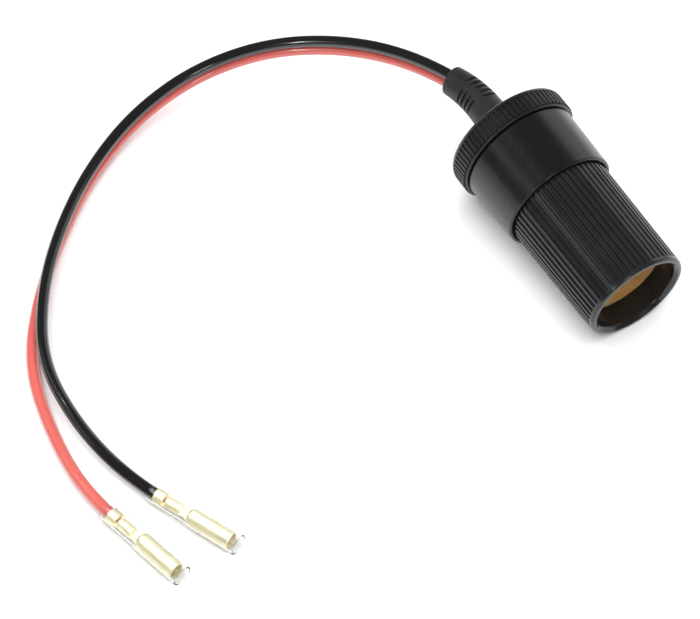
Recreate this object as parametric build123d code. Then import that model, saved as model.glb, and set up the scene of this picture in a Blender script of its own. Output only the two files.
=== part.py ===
"""In-line vehicle accessory socket on a twin lead with two sleeved bullet terminals.

Lengths are millimetres.  The socket is drawn along its own axis, z counting
backwards from the mouth, and is then laid on the floor on its mouth rim and its
end cap.  The lead is drawn where it lies, in the finished frame: +X out of the
mouth, +Z up, origin under the middle of the socket.
"""

import math
import os

from build123d import *

os.makedirs("parts", exist_ok=True)

# Fits
SLIP = 0.05            # pieces pushed together by hand
LOOSE = 0.15           # pieces that only have to pass each other

# Front barrel
MOUTH_R = 14.0         # over the ribs at the mouth
LIP_RIB_R = 14.5       # over the ribs where they run under the sleeve
RIM = 1.3              # smooth rim in front of the ribs
RIM_ROUND = 0.9
RIBS = 54
RIB_DEEP = 0.5
MOUTH_BORE_R = 11.75   # black counterbore seen inside the mouth
MOUTH_DEEP = 9.6
RIB_END = 36.5         # ribs stop here, out of sight under the sleeve
BARREL_END = 47.0
SPIGOT_R = 13.6        # plain rear part of the barrel, inside the sleeve

# Contact shell
SHELL_BORE_R = 10.73   # takes the standard plug
SHELL_WALL = 0.5
SHELL_R = SHELL_BORE_R + SHELL_WALL

# Rear sleeve
LIP_Z = 34.2
LIP_R = 15.7
SLEEVE_R = 16.15
SLEEVE_END = 52.4
LIP_BORE_R = LIP_RIB_R + 0.35
CAVITY_R = 12.0
CAVITY_REAR_R = 10.8
THREAD_ROOT_R = 14.2   # rear spigot the end cap screws on

# End cap
CAP_Z = 52.7
CAP_KNURL_Z = 53.3
CAP_KNURL_END = 58.0
CAP_END = 59.5
CAP_R = 17.3
CAP_BORE_R = 14.75
CAP_WALL = 1.8
CAP_ROUND = 1.5
TEETH = 72
TOOTH_DEEP = 0.45

# Strain relief
FLANGE_R = 12.2
FLANGE_THICK = 2.0
BOOT_TAPER = ((0.0, 5.2), (4.0, 5.1), (11.0, 4.75))   # back from the flange: length, radius
BOOT_TAIL = ((4.5, 4.55), (9.0, 4.35), (13.6, 4.1))   # along the bend: length, radius
BEND_R = 38.0          # the boot is pulled sideways by its lead
BEND_TO = -15.0        # degrees, from the side towards the floor
BOOT_ROUND = 0.8
BOOT_ROLL = 20.0       # how far the boot is turned about the axis
SLOT_PITCH = 1.65
SLOT_WIDE = 0.7
SLOT_DEEP = 0.75
FIN_R = 6.1
FIN_THICK = 2.2
FIN_LONG = 10.5

# Lead and terminals
WIRE_R = 1.6
WIRE_STEP = 1.65       # each wire's centre from the middle of the pair
STRAND_R = 0.9
BULLET_BORE_R = 1.97   # takes a 3.9 mm bullet
BULLET_R = 2.3
BULLET_LONG = 22.8
CLEAR_WALL = 0.45
CLEAR_R = BULLET_R + SLIP + CLEAR_WALL
STRIP = 2.6            # insulation held in the rear crimp

# Where each piece inside sits
DISC_THICK = 1.45
DISC_Z = BARREL_END + SLIP
DISC_END = DISC_Z + DISC_THICK
SHOULDER_Z = DISC_END + SLIP
CAP_INSIDE_Z = CAP_END - CAP_WALL
SPIGOT_END = CAP_INSIDE_Z - SLIP
FLANGE_Z = SPIGOT_END - FLANGE_THICK
BEND_Z = SPIGOT_END + BOOT_TAPER[-1][0]
TAIL_LONG = BOOT_TAIL[-1][0]
TAG_THICK = 0.5
SHELL_FLOOR = BARREL_END - SHELL_WALL


def turned(*points):
    """Solid of revolution from (radius, z) points; a third number rounds that corner."""
    face = make_face(Polyline(*[p[:2] for p in points], close=True))
    for p in points:
        if len(p) == 3:
            corner = face.vertices().sort_by_distance((p[0], p[1], 0))[0]
            face = fillet(corner, p[2])
    return revolve(Plane.XZ * face, Axis.Z)


def rod(radius, z0, z1, x=0.0, y=0.0):
    """Plain cylinder from z0 to z1."""
    return Pos(x, y, z0) * Cylinder(radius, z1 - z0, align=(Align.CENTER, Align.CENTER, Align.MIN))


def block(x0, x1, y0, y1, z0, z1):
    """Box between two corners."""
    return Pos((x0 + x1) / 2, (y0 + y1) / 2, (z0 + z1) / 2) * Box(x1 - x0, y1 - y0, z1 - z0)


def ribbed(count, crest_r, deep, z, crest=0.34, root=0.34):
    """Outline with ribs; crest and root are their shares of the pitch."""
    pitch = 2 * math.pi / count
    points = []
    for k in range(count):
        middle = k * pitch - math.pi / 2
        for r, turn in ((crest_r, -crest / 2), (crest_r, crest / 2),
                        (crest_r - deep, 0.5 - root / 2), (crest_r - deep, 0.5 + root / 2)):
            a = middle + turn * pitch
            points.append((r * math.cos(a), r * math.sin(a)))
    return Pos(0, 0, z) * make_face(Polyline(*points, close=True))


# Front barrel

def barrel_r(z):
    return MOUTH_R + (LIP_RIB_R - MOUTH_R) * z / LIP_Z


rim = turned((0, 0), (MOUTH_R, 0, RIM_ROUND), (MOUTH_R, RIM), (0, RIM))
ribs = loft([ribbed(RIBS, barrel_r(RIM), RIB_DEEP, RIM),
             ribbed(RIBS, barrel_r(RIB_END), RIB_DEEP, RIB_END)], ruled=True)
front_barrel = rim + ribs + rod(SPIGOT_R, RIB_END, BARREL_END)
front_barrel -= turned((0, -1), (MOUTH_BORE_R + 2, -1), (MOUTH_BORE_R + 0.9, 0, 0.8),
                       (MOUTH_BORE_R, 0.9, 0.6), (MOUTH_BORE_R, MOUTH_DEEP),
                       (SHELL_R + SLIP, MOUTH_DEEP), (SHELL_R + SLIP, BARREL_END + 1), (0, BARREL_END + 1))

# Contact shell: drawn brass cup, lipped at the barrel's step and necked in at its floor
FORK = 7.3             # the negative rivet's distance from the middle
NECK_R = 9.4           # inside the necked floor
NECK_Z = SHELL_FLOOR - 3.6
LIP_THICK = 0.5
contact_shell = turned((SHELL_BORE_R, MOUTH_DEEP - LIP_THICK), (MOUTH_BORE_R - SLIP, MOUTH_DEEP - LIP_THICK),
                       (MOUTH_BORE_R - SLIP, MOUTH_DEEP), (SHELL_R, MOUTH_DEEP),
                       (SHELL_R, NECK_Z + 0.2, 0.8), (NECK_R + SHELL_WALL, NECK_Z + 1.9),
                       (NECK_R + SHELL_WALL, BARREL_END), (0, BARREL_END), (0, SHELL_FLOOR),
                       (NECK_R, SHELL_FLOOR), (NECK_R, NECK_Z + 1.7), (SHELL_BORE_R, NECK_Z))
contact_shell -= rod(4.0, SHELL_FLOOR - 1, BARREL_END + 1)
contact_shell -= rod(1.25, SHELL_FLOOR - 1, BARREL_END + 1, y=FORK)

# Positive contact through the middle of the cup, held off it by a bush
BUSH_Z = SHELL_FLOOR - 1.2
RIVET_R = 2.0
RIVET_TAIL = DISC_END + TAG_THICK
inner_bush = turned((RIVET_R + SLIP, BUSH_Z), (5.5, BUSH_Z, 0.4), (5.5, SHELL_FLOOR), (3.95, SHELL_FLOOR),
                    (3.95, BARREL_END), (RIVET_R + SLIP, BARREL_END))
centre_contact = turned((0, BUSH_Z - 2.2), (1.6, BUSH_Z - 2.2, 0.5), (4.4, BUSH_Z - 0.7, 0.5), (4.4, BUSH_Z),
                        (RIVET_R, BUSH_Z), (RIVET_R, RIVET_TAIL), (2.5, RIVET_TAIL),
                        (2.5, RIVET_TAIL + 0.8, 0.4), (0, RIVET_TAIL + 0.8))
insulating_disc = rod(SPIGOT_R - 0.4, DISC_Z, DISC_END)
insulating_disc -= rod(RIVET_R + SLIP, DISC_Z - 1, DISC_END + 1)
insulating_disc -= rod(1.25, DISC_Z - 1, DISC_END + 1, y=FORK)

# Solder tags: a flat eye on the disc and an upright tab beside the stripped wire
TAB_Y = 3.3
TAB_TOP = FLANGE_Z - 2.6


def tab(y_in, y_out, wide):
    low, high = sorted((y_in, y_out))
    return block(-wide / 2, wide / 2, low, high, DISC_END, TAB_TOP)


positive_tag = rod(2.9, DISC_END, DISC_END + TAG_THICK)
positive_tag += block(-1.6, 1.6, -TAB_Y - TAG_THICK, 0, DISC_END, DISC_END + TAG_THICK)
positive_tag += tab(-TAB_Y, -TAB_Y - TAG_THICK, 3.2)
positive_tag -= rod(RIVET_R + SLIP, DISC_END - 1, DISC_END + 2)

negative_tag = rod(2.6, DISC_END, DISC_END + TAG_THICK, y=FORK)
negative_tag += block(-1.6, 1.6, TAB_Y, FORK, DISC_END, DISC_END + TAG_THICK)
negative_tag += tab(TAB_Y, TAB_Y + TAG_THICK, 3.2)
negative_tag -= rod(1.25, DISC_END - 1, DISC_END + 2, y=FORK)

negative_rivet = turned((0, SHELL_FLOOR - 0.8), (0.9, SHELL_FLOOR - 0.8, 0.3), (1.6, SHELL_FLOOR - 0.25),
                        (1.6, SHELL_FLOOR), (1.2, SHELL_FLOOR), (1.2, RIVET_TAIL), (1.8, RIVET_TAIL),
                        (1.8, RIVET_TAIL + 0.7, 0.3), (0, RIVET_TAIL + 0.7))
negative_rivet = Pos(0, FORK, 0) * negative_rivet

# Rear sleeve
rear_sleeve = turned((0, LIP_Z), (LIP_R, LIP_Z, 0.6), (SLEEVE_R, SLEEVE_END, 0.45), (THREAD_ROOT_R, SLEEVE_END),
                     (THREAD_ROOT_R, SPIGOT_END, 0.4), (0, SPIGOT_END))
rear_sleeve -= turned((0, LIP_Z - 1), (LIP_BORE_R, LIP_Z - 1), (LIP_BORE_R, RIB_END + 0.3),
                      (SPIGOT_R + SLIP, RIB_END + 0.3), (SPIGOT_R + SLIP, SHOULDER_Z), (CAVITY_R, SHOULDER_Z),
                      (CAVITY_REAR_R, FLANGE_Z), (FLANGE_R + LOOSE, FLANGE_Z),
                      (FLANGE_R + LOOSE, SPIGOT_END + 1), (0, SPIGOT_END + 1))

# End cap
end_cap = turned((0, CAP_Z), (CAP_R - 0.5, CAP_Z, 0.4), (CAP_R - 0.5, CAP_KNURL_Z + 0.1), (0, CAP_KNURL_Z + 0.1))
end_cap += turned((0, CAP_KNURL_END - 0.1), (CAP_R - 0.05, CAP_KNURL_END - 0.1), (CAP_R - 0.05, CAP_END, CAP_ROUND),
                  (0, CAP_END))
end_cap += extrude(ribbed(TEETH, CAP_R, TOOTH_DEEP, CAP_KNURL_Z, 0.3, 0.3), CAP_KNURL_END - CAP_KNURL_Z)
end_cap -= rod(CAP_BORE_R, CAP_Z - 1, CAP_INSIDE_Z)
end_cap -= turned((0, CAP_INSIDE_Z - 1), (FIN_R + 0.4, CAP_INSIDE_Z - 1), (FIN_R + 0.4, CAP_END - 0.4),
                  (FIN_R + 0.9, CAP_END + 0.1), (0, CAP_END + 0.1))


# Strain relief: a straight root and a tail bent about one axis
def boot_plane(s):
    """Section plane at s along the boot, counted from where its bend starts."""
    turn = max(s, 0.0) / BEND_R
    bend = Vector(math.cos(math.radians(BEND_TO)), math.sin(math.radians(BEND_TO)), 0)
    hinge = Vector(-bend.Y, bend.X, 0)
    along = bend * math.sin(turn) + Vector(0, 0, math.cos(turn))
    across = bend * math.cos(turn) - Vector(0, 0, math.sin(turn))
    middle = bend * (BEND_R * (1 - math.cos(turn)))
    middle += Vector(0, 0, BEND_Z + min(s, 0.0) + BEND_R * math.sin(turn))
    return Plane(origin=middle, x_dir=hinge * hinge.X + across * bend.X, z_dir=along)


def boot_r(s):
    """Radius of the boot at s along it."""
    steps = [(l - BOOT_TAPER[-1][0], r) for l, r in BOOT_TAPER] + list(BOOT_TAIL)
    for (s0, r0), (s1, r1) in zip(steps, steps[1:]):
        if s <= s1:
            return r0 + (r1 - r0) * (s - s0) / (s1 - s0)
    return steps[-1][1]


root = turned((0, FLANGE_Z), (FLANGE_R, FLANGE_Z), (FLANGE_R, SPIGOT_END), (BOOT_TAPER[0][1], SPIGOT_END),
              *[(r, SPIGOT_END + l) for l, r in BOOT_TAPER[1:]], (0, BEND_Z))
tail = loft([boot_plane(0) * Circle(BOOT_TAPER[-1][1])] + [boot_plane(s) * Circle(r) for s, r in BOOT_TAIL])
end_edge = tail.edges().sort_by_distance(boot_plane(TAIL_LONG).origin)[0]
tail = fillet(end_edge, BOOT_ROUND)
strain_relief = root + tail
for side in (0, 180):
    fin = make_face(Polyline((0, SPIGOT_END - 0.5), (FIN_R, SPIGOT_END - 0.5), (FIN_R, SPIGOT_END + 2.8),
                             (BOOT_TAPER[-1][1] - 0.5, SPIGOT_END + FIN_LONG), (0, SPIGOT_END + FIN_LONG), close=True))
    fin = extrude(Plane.XZ * fin, FIN_THICK / 2, both=True)
    strain_relief += Rot(0, 0, -BOOT_ROLL + side) * fin
for row, turn in enumerate((45, 135, 225, 315)):
    for k in range(5 if row % 2 else 4):
        s = 1.0 + SLOT_PITCH * (k + (0.0 if row % 2 else 0.5))
        slot = Pos(boot_r(s) - SLOT_DEEP + 2, 0, 0) * Box(4, 9, SLOT_WIDE)
        strain_relief -= boot_plane(s).location * (Rot(0, 0, -BOOT_ROLL + turn) * slot)
strain_relief -= Rot(0, 0, 45 - BOOT_ROLL + 90) * (Pos(BOOT_TAPER[1][1], 0, SPIGOT_END + 6.0) * Box(1.6, 1.5, 1.0))


def through_boot(step):
    """Centre line of one wire from inside the flange to the boot's end."""
    start = Vector(0, step, FLANGE_Z - 2.0)
    bend = boot_plane(0).from_local_coords(Vector(0, step, 0))
    middle = boot_plane(TAIL_LONG / 2).from_local_coords(Vector(0, step, 0))
    end = boot_plane(TAIL_LONG).from_local_coords(Vector(0, step, 0))
    return Line(start, bend) + ThreePointArc(bend, middle, end)


def tube(path, radius):
    return sweep(Plane(origin=path @ 0, z_dir=path % 0) * Circle(radius), path=path)


twin = through_boot(0)
twin_hole = Plane(origin=twin @ 0, x_dir=(0, 1, 0), z_dir=twin % 0) * SlotCenterToCenter(
    2 * WIRE_STEP, 2 * (WIRE_R + SLIP))
strain_relief -= sweep(twin_hole, path=twin)
inner = {}
for colour, side in (("black", 1), ("red", -1)):
    path = through_boot(side * WIRE_STEP)
    inner[colour + "_inner_lead"] = tube(path, WIRE_R)
    strands = rod(0.95, RIVET_TAIL + 1.2, FLANGE_Z - 2.0, y=side * (TAB_Y - STRAND_R))
    strands -= block(-3, 3, *sorted((side * (TAB_Y - 0.02), side * (TAB_Y + 2))), DISC_END, TAB_TOP + 3)
    inner[colour + "_inner_strands"] = strands

socket = dict(front_barrel=front_barrel, rear_sleeve=rear_sleeve, end_cap=end_cap, strain_relief=strain_relief,
              contact_shell=contact_shell, centre_contact=centre_contact, inner_bush=inner_bush,
              insulating_disc=insulating_disc, positive_tag=positive_tag, negative_tag=negative_tag,
              negative_rivet=negative_rivet, **inner)

# Lay the socket down: it touches the floor on the rounded rim and the cap's teeth
low_z, low_r = CAP_KNURL_Z - RIM_ROUND, CAP_R - (MOUTH_R - RIM_ROUND)
reach = math.hypot(low_z, low_r)
tilt = math.atan2(low_r, low_z) - math.asin(RIM_ROUND / reach)
height = (MOUTH_R - RIM_ROUND) * math.cos(tilt) - RIM_ROUND * math.sin(tilt) + RIM_ROUND


def seat(x):
    return Plane(origin=(x, 0, height), x_dir=(0, -1, 0), z_dir=(-math.cos(tilt), 0, math.sin(tilt)))


trial = Compound(children=[seat(0) * s for s in socket.values()]).bounding_box()
SEAT = seat(-(trial.min.X + trial.max.X) / 2)
pieces = {name: SEAT * solid for name, solid in socket.items()}

# The lead: two wires one above the other that part towards the terminals
ROUTES = {
    "black": ((-68.0, -18.0, 17.6), (-81.2, -34.2, 13.8), (-87.0, -54.1, 10.1), (-84.6, -74.8, 7.4),
              (-75.7, -93.7, 5.9), (-62.9, -110.1, 5.15), (-47.4, -123.9, 5.0), (-28.7, -134.1, 4.9),
              (-7.6, -135.8, 4.7)),
    "red": ((-68.0, -18.0, 14.3), (-81.2, -34.2, 10.5), (-87.0, -54.1, 6.8), (-84.6, -74.8, 4.1),
            (-75.7, -93.8, 2.6), (-62.6, -110.5, 1.85), (-47.6, -125.5, 1.65), (-30.7, -137.0, 1.65),
            (-9.9, -141.8, 1.65)),
}
ENDS = {"black": ((22.0, -127.8), (0.920, 0.391)), "red": ((21.0, -140.3), (0.970, 0.245))}
RUN_IN = 11.5          # straight run at either end of a wire


def bullet():
    """Receptacle with its two crimps, drawn from the wire end towards the tip."""
    body = turned((0, 0), (1.98, 0, 0.2), (1.98, 2.8), (1.5, 3.4), (1.5, 7.4), (1.35, 8.0), (1.35, 9.4),
                  (BULLET_R, 11.0), (BULLET_R, BULLET_LONG, 0.25), (0, BULLET_LONG))
    body -= rod(WIRE_R + SLIP, -1, STRIP + SLIP)
    body -= rod(STRAND_R + SLIP, 0, 7.7)
    body -= rod(BULLET_BORE_R, 11.4, BULLET_LONG + 1)
    for z0, z1 in ((2.85, 3.5), (7.9, 10.2)):
        body -= block(0.45, 4, -4, 4, z0, z1)
    return body


def clear_sleeve():
    """Thin sleeve, wide over the receptacle and narrow over the crimps."""
    return turned((2.03, -1.6), (2.03 + CLEAR_WALL, -1.6, 0.15), (2.03 + CLEAR_WALL, 9.6), (CLEAR_R, 11.2),
                  (CLEAR_R, BULLET_LONG + 2.0, 0.15), (BULLET_R + SLIP, BULLET_LONG + 2.0),
                  (BULLET_R + SLIP, 11.2), (2.03, 9.4))


for colour, side in (("black", 1), ("red", -1)):
    leave = Plane(SEAT.location * boot_plane(TAIL_LONG).location)
    first = leave.from_local_coords(Vector(0, side * WIRE_STEP, 0))
    (x, y), (dx, dy) = ENDS[colour]
    end = Vector(x, y, CLEAR_R)
    ahead = Vector(dx, dy, 0).normalized()
    route = [first, first + leave.z_dir * RUN_IN, *[Vector(*p) for p in ROUTES[colour]], end - ahead * RUN_IN, end]
    radii = []
    for a, b, c in zip(route, route[1:], route[2:]):
        turn = math.radians((b - a).get_angle(c - b))
        radii.append(0.45 * min((b - a).length, (c - b).length) / math.tan(turn / 2))
    line = FilletPolyline(*route, radius=radii)
    pieces[colour + "_wire"] = wire = tube(line, WIRE_R)
    print(colour, "lead length", round(line.length, 1), "smallest bend", round(min(radii), 1),
          "volume against section times length", round(wire.volume / (math.pi * WIRE_R ** 2 * line.length), 4))
    print(colour, "points", [tuple(round(v, 2) for v in p) for p in route])
    place = Plane(origin=end - ahead * STRIP, x_dir=(0, 0, 1), z_dir=ahead)
    pieces[colour + "_strands"] = place * rod(STRAND_R, STRIP, 7.6)
    pieces[colour + "_bullet"] = place * bullet()
    pieces[colour + "_boot_sleeve"] = place * clear_sleeve()

print("tilt", round(math.degrees(tilt), 3), "mouth middle", [round(v, 3) for v in SEAT.origin])
print("boot end", [round(v, 3) for v in leave.origin], "towards", [round(v, 4) for v in leave.z_dir])
for name, piece in pieces.items():
    solids = piece.solids()
    if len(solids) != 1:
        print("check", name, len(solids), "solids")
    export_step(solids[0], f"parts/{name}.step")
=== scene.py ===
# %% [markdown]
# # A lighter socket on its lead
# This lesson dresses a finished engineering model: a round black socket that
# takes a lighter plug, and the twin lead that feeds it. The solids already have
# their true size and place, so the work here is what a camera sees: the sheen
# of moulded plastic, bright brass, the curve of the wires and a soft studio.

# %% Load the solids
import math

import bpy
from mathutils import Matrix, Vector


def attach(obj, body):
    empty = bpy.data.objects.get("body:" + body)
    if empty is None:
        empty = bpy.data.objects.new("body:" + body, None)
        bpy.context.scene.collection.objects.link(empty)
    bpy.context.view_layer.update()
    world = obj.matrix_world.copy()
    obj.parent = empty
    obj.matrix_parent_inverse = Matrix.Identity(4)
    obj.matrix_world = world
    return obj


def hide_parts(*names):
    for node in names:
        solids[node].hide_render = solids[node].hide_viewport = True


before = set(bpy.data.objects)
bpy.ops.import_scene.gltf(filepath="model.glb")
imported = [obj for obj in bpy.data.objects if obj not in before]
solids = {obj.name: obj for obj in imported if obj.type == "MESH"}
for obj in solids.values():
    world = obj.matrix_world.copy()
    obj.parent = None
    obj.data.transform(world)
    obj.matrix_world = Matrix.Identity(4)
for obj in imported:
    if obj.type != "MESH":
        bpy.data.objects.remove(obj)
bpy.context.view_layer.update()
MM = 0.001

# %% [markdown]
# ## The socket's own axis
# The socket lies on its rim and its end cap, so its axis dips a little towards
# the mouth. A thread or a drawing line has to follow that axis, not the floor.
# The dip and the mouth's middle are the two facts everything else is placed by.

# %% Socket axis
DIP = math.radians(3.602)
MOUTH = Vector((41.098, 0.0, 13.918)) * MM
BACKWARD = Vector((-math.cos(DIP), 0.0, math.sin(DIP)))
SOCKET_AXES = Matrix((Vector((0, -1, 0)), Vector((math.sin(DIP), 0, math.cos(DIP))), BACKWARD)).transposed()


def on_axis(depth):
    """Turns a shape drawn along z into the socket, z counted back from the mouth."""
    return Matrix.Translation(MOUTH + BACKWARD * depth) @ SOCKET_AXES.to_4x4()


print("axis", [round(v, 4) for v in BACKWARD])

# %% [markdown]
# ## Camera
# The camera was recovered from the picture: two round edges of the socket and
# its straight sides give the angle, and the known bore gives the distance. A
# long lens from well above keeps the barrel's sides almost parallel.

# %% Camera
AZIMUTH, ELEVATION = math.radians(57.47), math.radians(55.31)
LOOK_AT = Vector((-3.07, -58.08, 0.0)) * MM
DISTANCE = 0.65612
FOCAL_PIXELS, FRAME_PIXELS = 2537.1, 700

camera = bpy.data.objects.new("camera", bpy.data.cameras.new("camera"))
bpy.context.collection.objects.link(camera)
outward = Vector((math.sin(AZIMUTH) * math.cos(ELEVATION), -math.cos(AZIMUTH) * math.cos(ELEVATION),
                  math.sin(ELEVATION)))
camera.location = LOOK_AT + outward * DISTANCE
camera.rotation_mode = "QUATERNION"
camera.rotation_quaternion = (-outward).to_track_quat("-Z", "Y")
camera.data.lens = camera.data.sensor_width * FOCAL_PIXELS / FRAME_PIXELS
camera.data.clip_start, camera.data.clip_end = 0.01, 20.0
bpy.context.scene.camera = camera
print("lens", round(camera.data.lens, 1), "mm")

# %% [markdown]
# ## Studio
# The picture is high-key: a white sheet lit until it burns out, and black
# plastic that stays black. That only works when the bright things stand where
# the plastic does not mirror them. So the sheet is lit from overhead by a light
# that mirrors do not see, white cards stand low around the table, and three
# small lamps draw lines on ribs and wires and reach into the mouth.

# %% Studio
world = bpy.data.worlds.new("studio")
bpy.context.scene.world = world
world.use_nodes = True
world.node_tree.nodes["Background"].inputs["Color"].default_value = (1.0, 1.0, 1.0, 1.0)
world.node_tree.nodes["Background"].inputs["Strength"].default_value = 0.16
bpy.context.scene.view_settings.view_transform = "Standard"

floor_mesh = bpy.data.meshes.new("floor")
reach = 3.0
floor_mesh.from_pydata([(-reach, -reach, 0), (reach, -reach, 0), (reach, reach, 0), (-reach, reach, 0)], [],
                       [(0, 1, 2, 3)])
floor = bpy.data.objects.new("floor", floor_mesh)
bpy.context.collection.objects.link(floor)

side = Vector((math.cos(AZIMUTH), math.sin(AZIMUTH), 0.0))
away = Vector((-math.sin(AZIMUTH), math.cos(AZIMUTH), 0.0))


def softbox(name, turn, rise, distance, wide, high, glow, mirrored=True):
    """A light that faces the table: turn counts clockwise from straight behind, rise from the floor."""
    turn, rise = math.radians(turn), math.radians(rise)
    level = away * math.cos(turn) + side * math.sin(turn)
    towards = level * math.cos(rise) + Vector((0, 0, math.sin(rise)))
    data = bpy.data.lights.new(name, "AREA")
    data.shape, data.size, data.size_y = "RECTANGLE", wide, high
    data.energy = glow * math.pi * wide * high
    light = bpy.data.objects.new(name, data)
    bpy.context.collection.objects.link(light)
    light.location = LOOK_AT + towards * distance
    light.rotation_mode = "QUATERNION"
    light.rotation_quaternion = (-towards).to_track_quat("-Z", "Y")
    light.visible_glossy = mirrored
    return light


softbox("overhead_fill", 0, 89, 1.6, 2.4, 2.4, 3.3, mirrored=False)
softbox("back_card", 50, 22, 1.5, 1.6, 0.9, 1.0)
softbox("left_card", -85, 36, 1.2, 0.8, 0.35, 0.9)
softbox("front_lamp", -150, 38, 1.1, 0.11, 0.11, 50.0)
softbox("ridge_lamp", -65, 55, 1.1, 0.04, 0.04, 60.0)
softbox("mouth_lamp", 150, 28, 1.0, 0.20, 0.14, 12.0)

# %% [markdown]
# ## Writing shader maths as sums
# A finish is a small program: take a place on the piece, read some noise there,
# and turn it into roughness or colour. Wrapping a socket in a class lets that
# be written as an ordinary sum. Every other node comes from one method.


# %% Sums of sockets
class Sock:
    """An output socket that can be added, multiplied and fed into nodes."""

    def __init__(self, tree, socket):
        self.tree, self.socket = tree, socket

    def node(self, kind, settings=None, inputs=None, out=0):
        """Adds a node: its settings first, then the values or links of its sockets."""
        made = self.tree.nodes.new("ShaderNode" + kind)
        for name, value in (settings or {}).items():
            if name == "stops":
                while len(made.color_ramp.elements) < len(value):
                    made.color_ramp.elements.new(1.0)
                for stop, (place, shade) in zip(made.color_ramp.elements, value):
                    stop.position, stop.color = place, (shade, shade, shade, 1.0)
            else:
                setattr(made, name, value)
        for name, value in (inputs or {}).items():
            if isinstance(value, Sock):
                self.tree.links.new(value.socket, made.inputs[name])
            else:
                made.inputs[name].default_value = value
        return Sock(self.tree, made.outputs[out])

    def sum(self, operation, first, second):
        return self.node("Math", {"operation": operation}, {0: first, 1: second})

    def __add__(self, other):
        return self.sum("ADD", self, other)

    def __radd__(self, other):
        return self.sum("ADD", other, self)

    def __sub__(self, other):
        return self.sum("SUBTRACT", self, other)

    def __mul__(self, other):
        return self.sum("MULTIPLY", self, other)

    def __rmul__(self, other):
        return self.sum("MULTIPLY", other, self)


def finish_named(name):
    """A new material, its shader, and the place on the piece in metres."""
    material = bpy.data.materials.new(name)
    material.use_nodes = True
    tree = material.node_tree
    place = tree.nodes.new("ShaderNodeTexCoord").outputs["Object"]
    return material, tree.nodes["Principled BSDF"], Sock(tree, place)


def opaque(shade, gain=1.0):
    """A colour with full alpha, made lighter or darker by a gain."""
    return (*[v * gain for v in shade], 1.0)


def feed(shader, values):
    """Sets or links the shader's sockets by name."""
    for name, value in values.items():
        if isinstance(value, Sock):
            value.tree.links.new(value.socket, shader.inputs[name])
        else:
            shader.inputs[name].default_value = value


def noise(place, per_mm, detail=2.0, rough=0.5):
    """Even noise, 0 to 1, with about that many blotches to the millimetre."""
    return place.node("TexNoise", None, {"Vector": place, "Scale": per_mm / MM,
                                         "Detail": detail, "Roughness": rough})


def ramp(value, *stops):
    """Reads a value off a grey ramp of (place, shade) stops."""
    return value.node("ValToRGB", {"stops": stops}, {"Fac": value})


def blend(factor, first, second):
    """Mixes two colours."""
    return factor.node("Mix", {"data_type": "RGBA"}, {0: factor, 6: first, 7: second}, out=2)


def relief(height, depth_mm, strength=1.0):
    """A bump of that depth."""
    return height.node("Bump", None, {"Height": height, "Distance": depth_mm * MM, "Strength": strength})


def along_axis(place, along, across):
    """Turns and stretches a place so that noise runs in lines along the socket."""
    return place.node("Mapping", {"vector_type": "POINT"},
                      {"Vector": place, "Rotation": (0.0, DIP, 0.0), "Scale": (along, across, across)})


print("shader helpers ready")

# %% [markdown]
# ## Moulded black plastic
# The barrel, the sleeve and the cap come from one black plastic but not from
# one mould finish. The barrel's ribs come out glossy, the sleeve and the cap a
# little softer, and the boot is matt. A faint grain goes into the bump and slow
# patches into the roughness, because handled plastic is never even.


# %% Black plastics
def moulded(name, shade, rough, grain_mm, patch):
    """Black plastic: its roughness, the depth of its grain and how uneven its gloss is."""
    material, shader, place = finish_named(name)
    grain = noise(place, 5.0, 3.0, 0.6)
    fine = noise(place, 16.0, 1.0)
    patches = noise(place, 0.12, 3.0)
    worn = noise(along_axis(place, 0.25, 2.2), 1.0, 2.0)
    tone = ramp(patches, (0.3, 0.0), (0.75, 1.0))
    feed(shader, {
        "Base Color": blend(tone, opaque(shade, 0.82), opaque(shade, 1.25)),
        "Roughness": rough + patch * (patches - 0.5) + 0.10 * (worn - 0.5) + 0.06 * (grain - 0.5),
        "Specular IOR Level": 0.5,
        "Normal": relief(grain * 0.75 + fine * 0.25, grain_mm),
    })
    return material


ribbed_plastic = moulded("ribbed_plastic_finish", (0.0115, 0.0120, 0.0130), 0.18, 0.004, 0.08)
sleeve_plastic = moulded("sleeve_plastic_finish", (0.0036, 0.0040, 0.0047), 0.29, 0.004, 0.12)
cap_plastic = moulded("cap_plastic_finish", (0.0070, 0.0075, 0.0082), 0.36, 0.009, 0.14)
boot_pvc = moulded("boot_pvc_finish", (0.0135, 0.0145, 0.0162), 0.50, 0.014, 0.12)
print("plastics", ribbed_plastic.name, sleeve_plastic.name, cap_plastic.name, boot_pvc.name)

# %% [markdown]
# ## Wire insulation
# Extruded PVC comes out glossy, with a faint orange-peel and long die lines. The
# red one is a warm coral red; a little light goes into it, which is why its
# shaded side stays red and not brown.


# %% Wire finishes
def extruded(name, shade, rough):
    """Glossy wire insulation under a thin clear skin."""
    material, shader, place = finish_named(name)
    peel = noise(place, 0.9, 2.0)
    haze = noise(place, 0.09, 3.0)
    feed(shader, {
        "Base Color": blend(haze, opaque(shade, 0.9), opaque(shade, 1.1)),
        "Roughness": rough + 0.14 * (haze - 0.5),
        "Coat Weight": 0.45 + 0.2 * haze,
        "Normal": relief(peel, 0.010),
    })
    shader.inputs["Coat Roughness"].default_value = 0.07
    return material


black_pvc = extruded("black_pvc_finish", (0.0045, 0.0045, 0.0050), 0.19)
red_pvc = extruded("red_pvc_finish", (0.58, 0.110, 0.092), 0.22)
print("insulation", black_pvc.name, red_pvc.name)

# %% [markdown]
# ## Metals
# Brass keeps its colour in its reflections, so the base colour does the work
# and the roughness only decides how sharp they are. The shell is drawn, which
# leaves fine lines along it; a little tarnish gathers in slow patches. A dull
# film on the shell and the terminals scatters part of the light as paint does.


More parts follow.
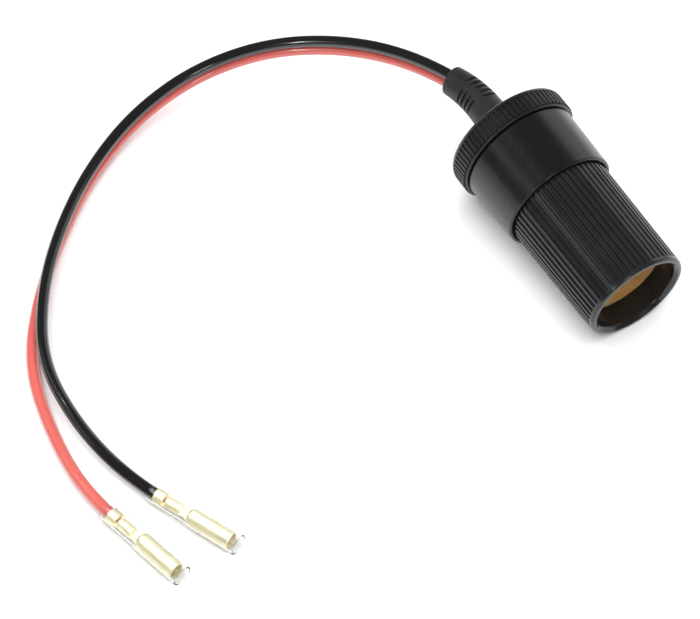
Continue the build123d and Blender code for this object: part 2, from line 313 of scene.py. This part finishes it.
# %% Metals
def bright_metal(name, shade, tarnish, rough, lines, dull=0.0):
    """Drawn metal with tarnished patches; dull is the share hidden by a film."""
    material, shader, place = finish_named(name)
    drawn = noise(along_axis(place, 0.06, 6.0), 1.0, 2.0)
    patches = ramp(noise(place, 0.35, 4.0, 0.6), (0.42, 0.0), (0.78, 1.0))
    feed(shader, {
        "Base Color": blend(patches, opaque(shade), opaque(tarnish)),
        "Metallic": 1.0 - dull,
        "Roughness": rough + 0.16 * patches + lines * (drawn - 0.5),
        "Normal": relief(drawn, 0.006, 0.6),
    })
    return material


shell_brass = bright_metal("shell_brass_finish", (0.90, 0.66, 0.30), (0.72, 0.40, 0.15), 0.34, 0.16,
                           dull=0.5)
contact_brass = bright_metal("contact_brass_finish", (0.84, 0.63, 0.31), (0.66, 0.44, 0.20), 0.22, 0.10)
bullet_brass = bright_metal("bullet_brass_finish", (0.98, 0.92, 0.66), (0.94, 0.84, 0.52), 0.38, 0.12,
                            dull=0.4)
copper = bright_metal("copper_finish", (0.86, 0.45, 0.28), (0.62, 0.28, 0.16), 0.30, 0.10)
print("metals", shell_brass.name, contact_brass.name, bullet_brass.name, copper.name)

# %% [markdown]
# ## Board, bush and clear sleeve
# The contact board is pressed fibre, brown with paler strands. The terminals'
# sleeves are clear soft PVC: mostly transparent, with a wet gloss, so light
# has to pass through them and not only fade them.


# %% Board and clear sleeve
def pressed_fibre(name, shade, strand):
    """Board with paler strands pressed into it."""
    material, shader, place = finish_named(name)
    strands = ramp(noise(place, 3.0, 4.0, 0.7), (0.45, 0.0), (0.62, 1.0))
    feed(shader, {
        "Base Color": blend(strands, opaque(shade), opaque(strand)),
        "Roughness": 0.62 + 0.15 * strands,
        "Normal": relief(strands, 0.02),
    })
    return material


def clear_film(name):
    """Soft clear plastic with a little haze."""
    material, shader, place = finish_named(name)
    haze = noise(place, 0.4, 3.0)
    feed(shader, {
        "Base Color": (0.96, 0.97, 0.96, 1.0),
        "Roughness": 0.10 + 0.12 * haze,
        "Transmission Weight": 1.0,
        "IOR": 1.22,
        "Normal": relief(haze, 0.02),
    })
    return material


fibre_board = pressed_fibre("fibre_board_finish", (0.15, 0.060, 0.025), (0.26, 0.13, 0.06))
bush_plastic = pressed_fibre("bush_plastic_finish", (0.030, 0.018, 0.014), (0.050, 0.032, 0.024))
clear_pvc = clear_film("clear_pvc_finish")
paper, paper_shader, paper_place = finish_named("floor_paper")
feed(paper_shader, {
    "Base Color": (0.90, 0.90, 0.90, 1.0),
    "Roughness": 0.7 + 0.1 * noise(paper_place, 0.02, 3.0),
})
floor.data.materials.append(paper)
print("board and sleeve", fibre_board.name, clear_pvc.name)

# %% [markdown]
# ## Finishes on the solids
# The solids that already have the right shape keep it, and only take the finish
# that belongs to their slot.

# %% Finish each solid
FINISHES = {
    "front_barrel": ribbed_plastic, "rear_sleeve": sleeve_plastic, "end_cap": cap_plastic,
    "strain_relief": boot_pvc, "contact_shell": shell_brass, "centre_contact": contact_brass,
    "negative_rivet": contact_brass, "inner_bush": bush_plastic, "insulating_disc": fibre_board,
    "positive_tag": contact_brass, "negative_tag": contact_brass,
    "black_inner_lead": black_pvc, "red_inner_lead": red_pvc,
    "black_inner_strands": copper, "red_inner_strands": copper,
    "black_strands": copper, "red_strands": copper,
    "black_bullet": bullet_brass, "red_bullet": bullet_brass,
    "black_boot_sleeve": clear_pvc, "red_boot_sleeve": clear_pvc,
}
for node, finish in FINISHES.items():
    solids[node].material_slots[0].material = finish
print("finished", len(FINISHES), "solids")

# %% [markdown]
# ## The lead
# Two stiff wires leave the strain relief one above the other, sink to the
# table in a wide arc and part near their ends. A smooth spline through a
# handful of listed control points bends the way a wire does.

# %% Wires
WIRE_ROUTES = {
    "black": ((-40.79, -2.35, 20.09), (-51.6, -6.24, 19.73), (-68.0, -18.0, 17.6), (-81.2, -34.2, 13.8),
              (-87.0, -54.1, 10.1), (-84.6, -74.8, 7.4), (-75.7, -93.7, 5.9), (-62.9, -110.1, 5.15),
              (-47.4, -123.9, 5.0), (-28.7, -134.1, 4.9), (-7.6, -135.8, 4.7), (11.42, -132.3, 2.8),
              (22.0, -127.8, 2.8)),
    "red": ((-40.69, -2.3, 16.8), (-51.51, -6.19, 16.43), (-68.0, -18.0, 14.3), (-81.2, -34.2, 10.5),
            (-87.0, -54.1, 6.8), (-84.6, -74.8, 4.1), (-75.7, -93.8, 2.6), (-62.6, -110.5, 1.85),
            (-47.6, -125.5, 1.65), (-30.7, -137.0, 1.65), (-9.9, -141.8, 1.65), (9.85, -143.12, 2.8),
            (21.0, -140.3, 2.8)),
}
WIRE_DIAMETER = 3.2


def lay_wire(colour, finish):
    """One wire as a smooth spline, round in section."""
    data = bpy.data.curves.new(colour + "_lead", "CURVE")
    data.dimensions, data.resolution_u = "3D", 16
    data.bevel_depth, data.bevel_resolution, data.use_fill_caps = WIRE_DIAMETER / 2 * MM, 6, True
    route = [Vector(p) * MM for p in WIRE_ROUTES[colour]]
    spline = data.splines.new("NURBS")
    spline.points.add(len(route) - 1)
    for point, place in zip(spline.points, route):
        point.co = (*place, 1.0)
    spline.order_u = 3
    spline.use_endpoint_u = True
    data.materials.append(finish)
    wire = bpy.data.objects.new(colour + "_lead", data)
    bpy.context.collection.objects.link(wire)
    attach(wire, "socket")
    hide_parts(colour + "_wire")
    return wire


leads = {"black": lay_wire("black", black_pvc), "red": lay_wire("red", red_pvc)}
print("leads", [lead.name for lead in leads.values()])

# %% [markdown]
# ## Pieces grown by Geometry Nodes
# A bundle of copper strands and a screw thread repeat one small shape along a
# rule, so a node group grows them from a few numbers. The group is built once
# per piece, its inputs are set by name, and the result is kept as a plain mesh.


# %% Node group helper
def grow(name, numbers, build, finish):
    """Runs a node group that build() wires up, and keeps what it makes as a mesh."""
    group = bpy.data.node_groups.new(name, "GeometryNodeTree")
    group.interface.new_socket("Geometry", in_out="OUTPUT", socket_type="NodeSocketGeometry")
    for label in numbers:
        group.interface.new_socket(label, in_out="INPUT", socket_type="NodeSocketFloat")
    source = group.nodes.new("NodeGroupInput")

    def node(kind, inputs=None, settings=None, out=0):
        made = group.nodes.new(kind)
        for key, value in (settings or {}).items():
            setattr(made, key, value)
        for key, value in (inputs or {}).items():
            if isinstance(value, bpy.types.NodeSocket):
                group.links.new(value, made.inputs[key])
            else:
                made.inputs[key].default_value = value
        return made.outputs[out]

    shape = build(node, source.outputs)
    shape = node("GeometryNodeRealizeInstances", {0: shape})
    shape = node("GeometryNodeSetMaterial", {"Geometry": shape, "Material": finish})
    group.links.new(shape, group.nodes.new("NodeGroupOutput").inputs[0])
    carrier = bpy.data.objects.new(name + "_carrier", bpy.data.meshes.new(name + "_carrier"))
    bpy.context.collection.objects.link(carrier)
    modifier = carrier.modifiers.new(name, "NODES")
    modifier.node_group = group
    for item in group.interface.items_tree:
        if item.item_type == "SOCKET" and item.in_out == "INPUT":
            modifier[item.identifier] = float(numbers[item.name])
    grown = bpy.data.meshes.new_from_object(carrier.evaluated_get(bpy.context.evaluated_depsgraph_get()))
    carrier.modifiers.remove(modifier)
    bpy.data.objects.remove(carrier)
    return grown


def keep(name, mesh, place):
    """Puts a grown mesh where it belongs and returns its object."""
    mesh.transform(place)
    mesh.name = name
    piece = bpy.data.objects.new(name, mesh)
    bpy.context.collection.objects.link(piece)
    return piece


print("grower ready")

# %% [markdown]
# ## Copper strands
# Under each clear sleeve the bared wire runs into the crimp. Nineteen strands,
# one in the middle and two rings round it, are laid straight and then twisted
# about the axis, as the real bundle is.


# %% Copper strands
def strand_bundle(node, numbers):
    """Nineteen strands round one axis, twisted as they go along it."""
    line = node("GeometryNodeCurvePrimitiveLine", {
        "End": node("ShaderNodeCombineXYZ", {"Z": numbers["Length"]})})
    line = node("GeometryNodeResampleCurve", {"Curve": line, "Count": 14})
    spots = [node("GeometryNodePoints", {"Count": 1})]
    for ring, count in ((2.0, 6), (4.0, 12)):
        radius = node("ShaderNodeMath", {0: numbers["Strand Radius"], 1: ring}, {"operation": "MULTIPLY"})
        spots.append(node("GeometryNodeMeshCircle", {"Vertices": count, "Radius": radius}))
    joined = group_join(node, spots)
    strands = node("GeometryNodeInstanceOnPoints", {"Points": joined, "Instance": line})
    strands = node("GeometryNodeRealizeInstances", {0: strands})
    place = node("GeometryNodeInputPosition")
    height = node("ShaderNodeSeparateXYZ", {0: place}, out=2)
    turn = node("ShaderNodeMath", {0: height, 1: numbers["Twist"]}, {"operation": "MULTIPLY"})
    turned = node("ShaderNodeVectorRotate", {"Vector": place, "Angle": turn}, {"rotation_type": "Z_AXIS"})
    strands = node("GeometryNodeSetPosition", {"Geometry": strands, "Position": turned})
    ring = node("GeometryNodeCurvePrimitiveCircle", {"Resolution": 8, "Radius": numbers["Strand Radius"]})
    return node("GeometryNodeCurveToMesh", {"Curve": strands, "Profile Curve": ring, "Fill Caps": True})


def group_join(node, parts):
    """Joins several geometries with one node."""
    joined = node("GeometryNodeJoinGeometry", {0: parts[0]})
    for part in parts[1:]:
        joined.node.id_data.links.new(part, joined.node.inputs[0])
    return joined


TERMINALS = {"black": ((22.0, -127.8, 2.8), (0.920, 0.391, 0.0)),
             "red": ((21.0, -140.3, 2.8), (0.970, 0.245, 0.0))}
STRAND_RADIUS, STRAND_LONG = 0.18, 5.0
TWIST_PER_METRE = 180.0
strand_numbers = {"Strand Radius": STRAND_RADIUS * MM, "Length": STRAND_LONG * MM, "Twist": TWIST_PER_METRE}
for colour, (start, ahead) in TERMINALS.items():
    mesh = grow(colour + "_strand_grower", strand_numbers, strand_bundle, copper)
    turned = Vector(ahead).to_track_quat("Z", "Y").to_matrix().to_4x4()
    bundle = keep(colour + "_strand_bundle", mesh, Matrix.Translation(Vector(start) * MM) @ turned)
    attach(bundle, "socket")
    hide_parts(colour + "_strands")
    Vector(WIRE_ROUTES[colour][0]) * MM
    print(bundle.name, len(mesh.polygons), "faces")

# %% [markdown]
# ## Screw thread
# The cap screws onto a short spigot behind the sleeve. A spiral with a
# four-cornered section gives the thread its sharp crest; half of the section
# is sunk in the spigot. It only shows once the cap is drawn back.


# %% Screw thread
def thread_ridge(node, numbers):
    """One ridge wound round the spigot."""
    spiral = node("GeometryNodeCurveSpiral", {
        "Resolution": 72, "Rotations": numbers["Turns"], "Height": numbers["Height"],
        "Start Radius": numbers["Radius"], "End Radius": numbers["Radius"]})
    spiral = node("GeometryNodeSetCurveNormal", {0: spiral}, {"mode": "Z_UP"})
    ridge = node("GeometryNodeCurvePrimitiveCircle", {"Resolution": 4, "Radius": numbers["Ridge"]})
    return node("GeometryNodeCurveToMesh", {"Curve": spiral, "Profile Curve": ridge, "Fill Caps": True})


THREAD_FROM, THREAD_LONG = 53.2, 3.9
THREAD_RADIUS, THREAD_RIDGE, THREAD_TURNS = 14.2, 0.42, 2.6
thread_numbers = {"Turns": THREAD_TURNS, "Radius": THREAD_RADIUS * MM, "Height": THREAD_LONG * MM,
                  "Ridge": THREAD_RIDGE * MM}
mesh = grow("thread_grower", thread_numbers, thread_ridge, sleeve_plastic)
thread = keep("spigot_thread", mesh, on_axis(THREAD_FROM * MM))
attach(thread, "socket")
print(thread.name, len(mesh.polygons), "faces")

# %% [markdown]
# ## The shell's front edge
# In the picture the brass shell comes further up the mouth than the plain solid
# does. This short rolled collar is that front edge: a profile of four corners
# spun round the axis, tight against the black bore.

# %% Shell edge
EDGE_INSIDE, EDGE_OUTSIDE = 11.2, 11.65
EDGE_FRONT, EDGE_BACK = 7.0, 9.05
PROFILE = ((EDGE_INSIDE, EDGE_FRONT), (EDGE_OUTSIDE, EDGE_FRONT),
           (EDGE_OUTSIDE, EDGE_BACK), (EDGE_INSIDE, EDGE_BACK))
STEPS = 120
corners, sides = [], []
for step in range(STEPS):
    turn = 2 * math.pi * step / STEPS
    corners += [(r * math.cos(turn) * MM, r * math.sin(turn) * MM, depth * MM) for r, depth in PROFILE]
    here, there = 4 * step, 4 * ((step + 1) % STEPS)
    sides += [(there + k, there + (k + 1) % 4, here + (k + 1) % 4, here + k) for k in range(4)]
collar_mesh = bpy.data.meshes.new("shell_edge")
collar_mesh.from_pydata(corners, [], sides)
collar_mesh.materials.append(shell_brass)
shell_edge = keep("shell_edge", collar_mesh, on_axis(0.0))
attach(shell_edge, "socket")
print(shell_edge.name, len(collar_mesh.polygons), "faces")
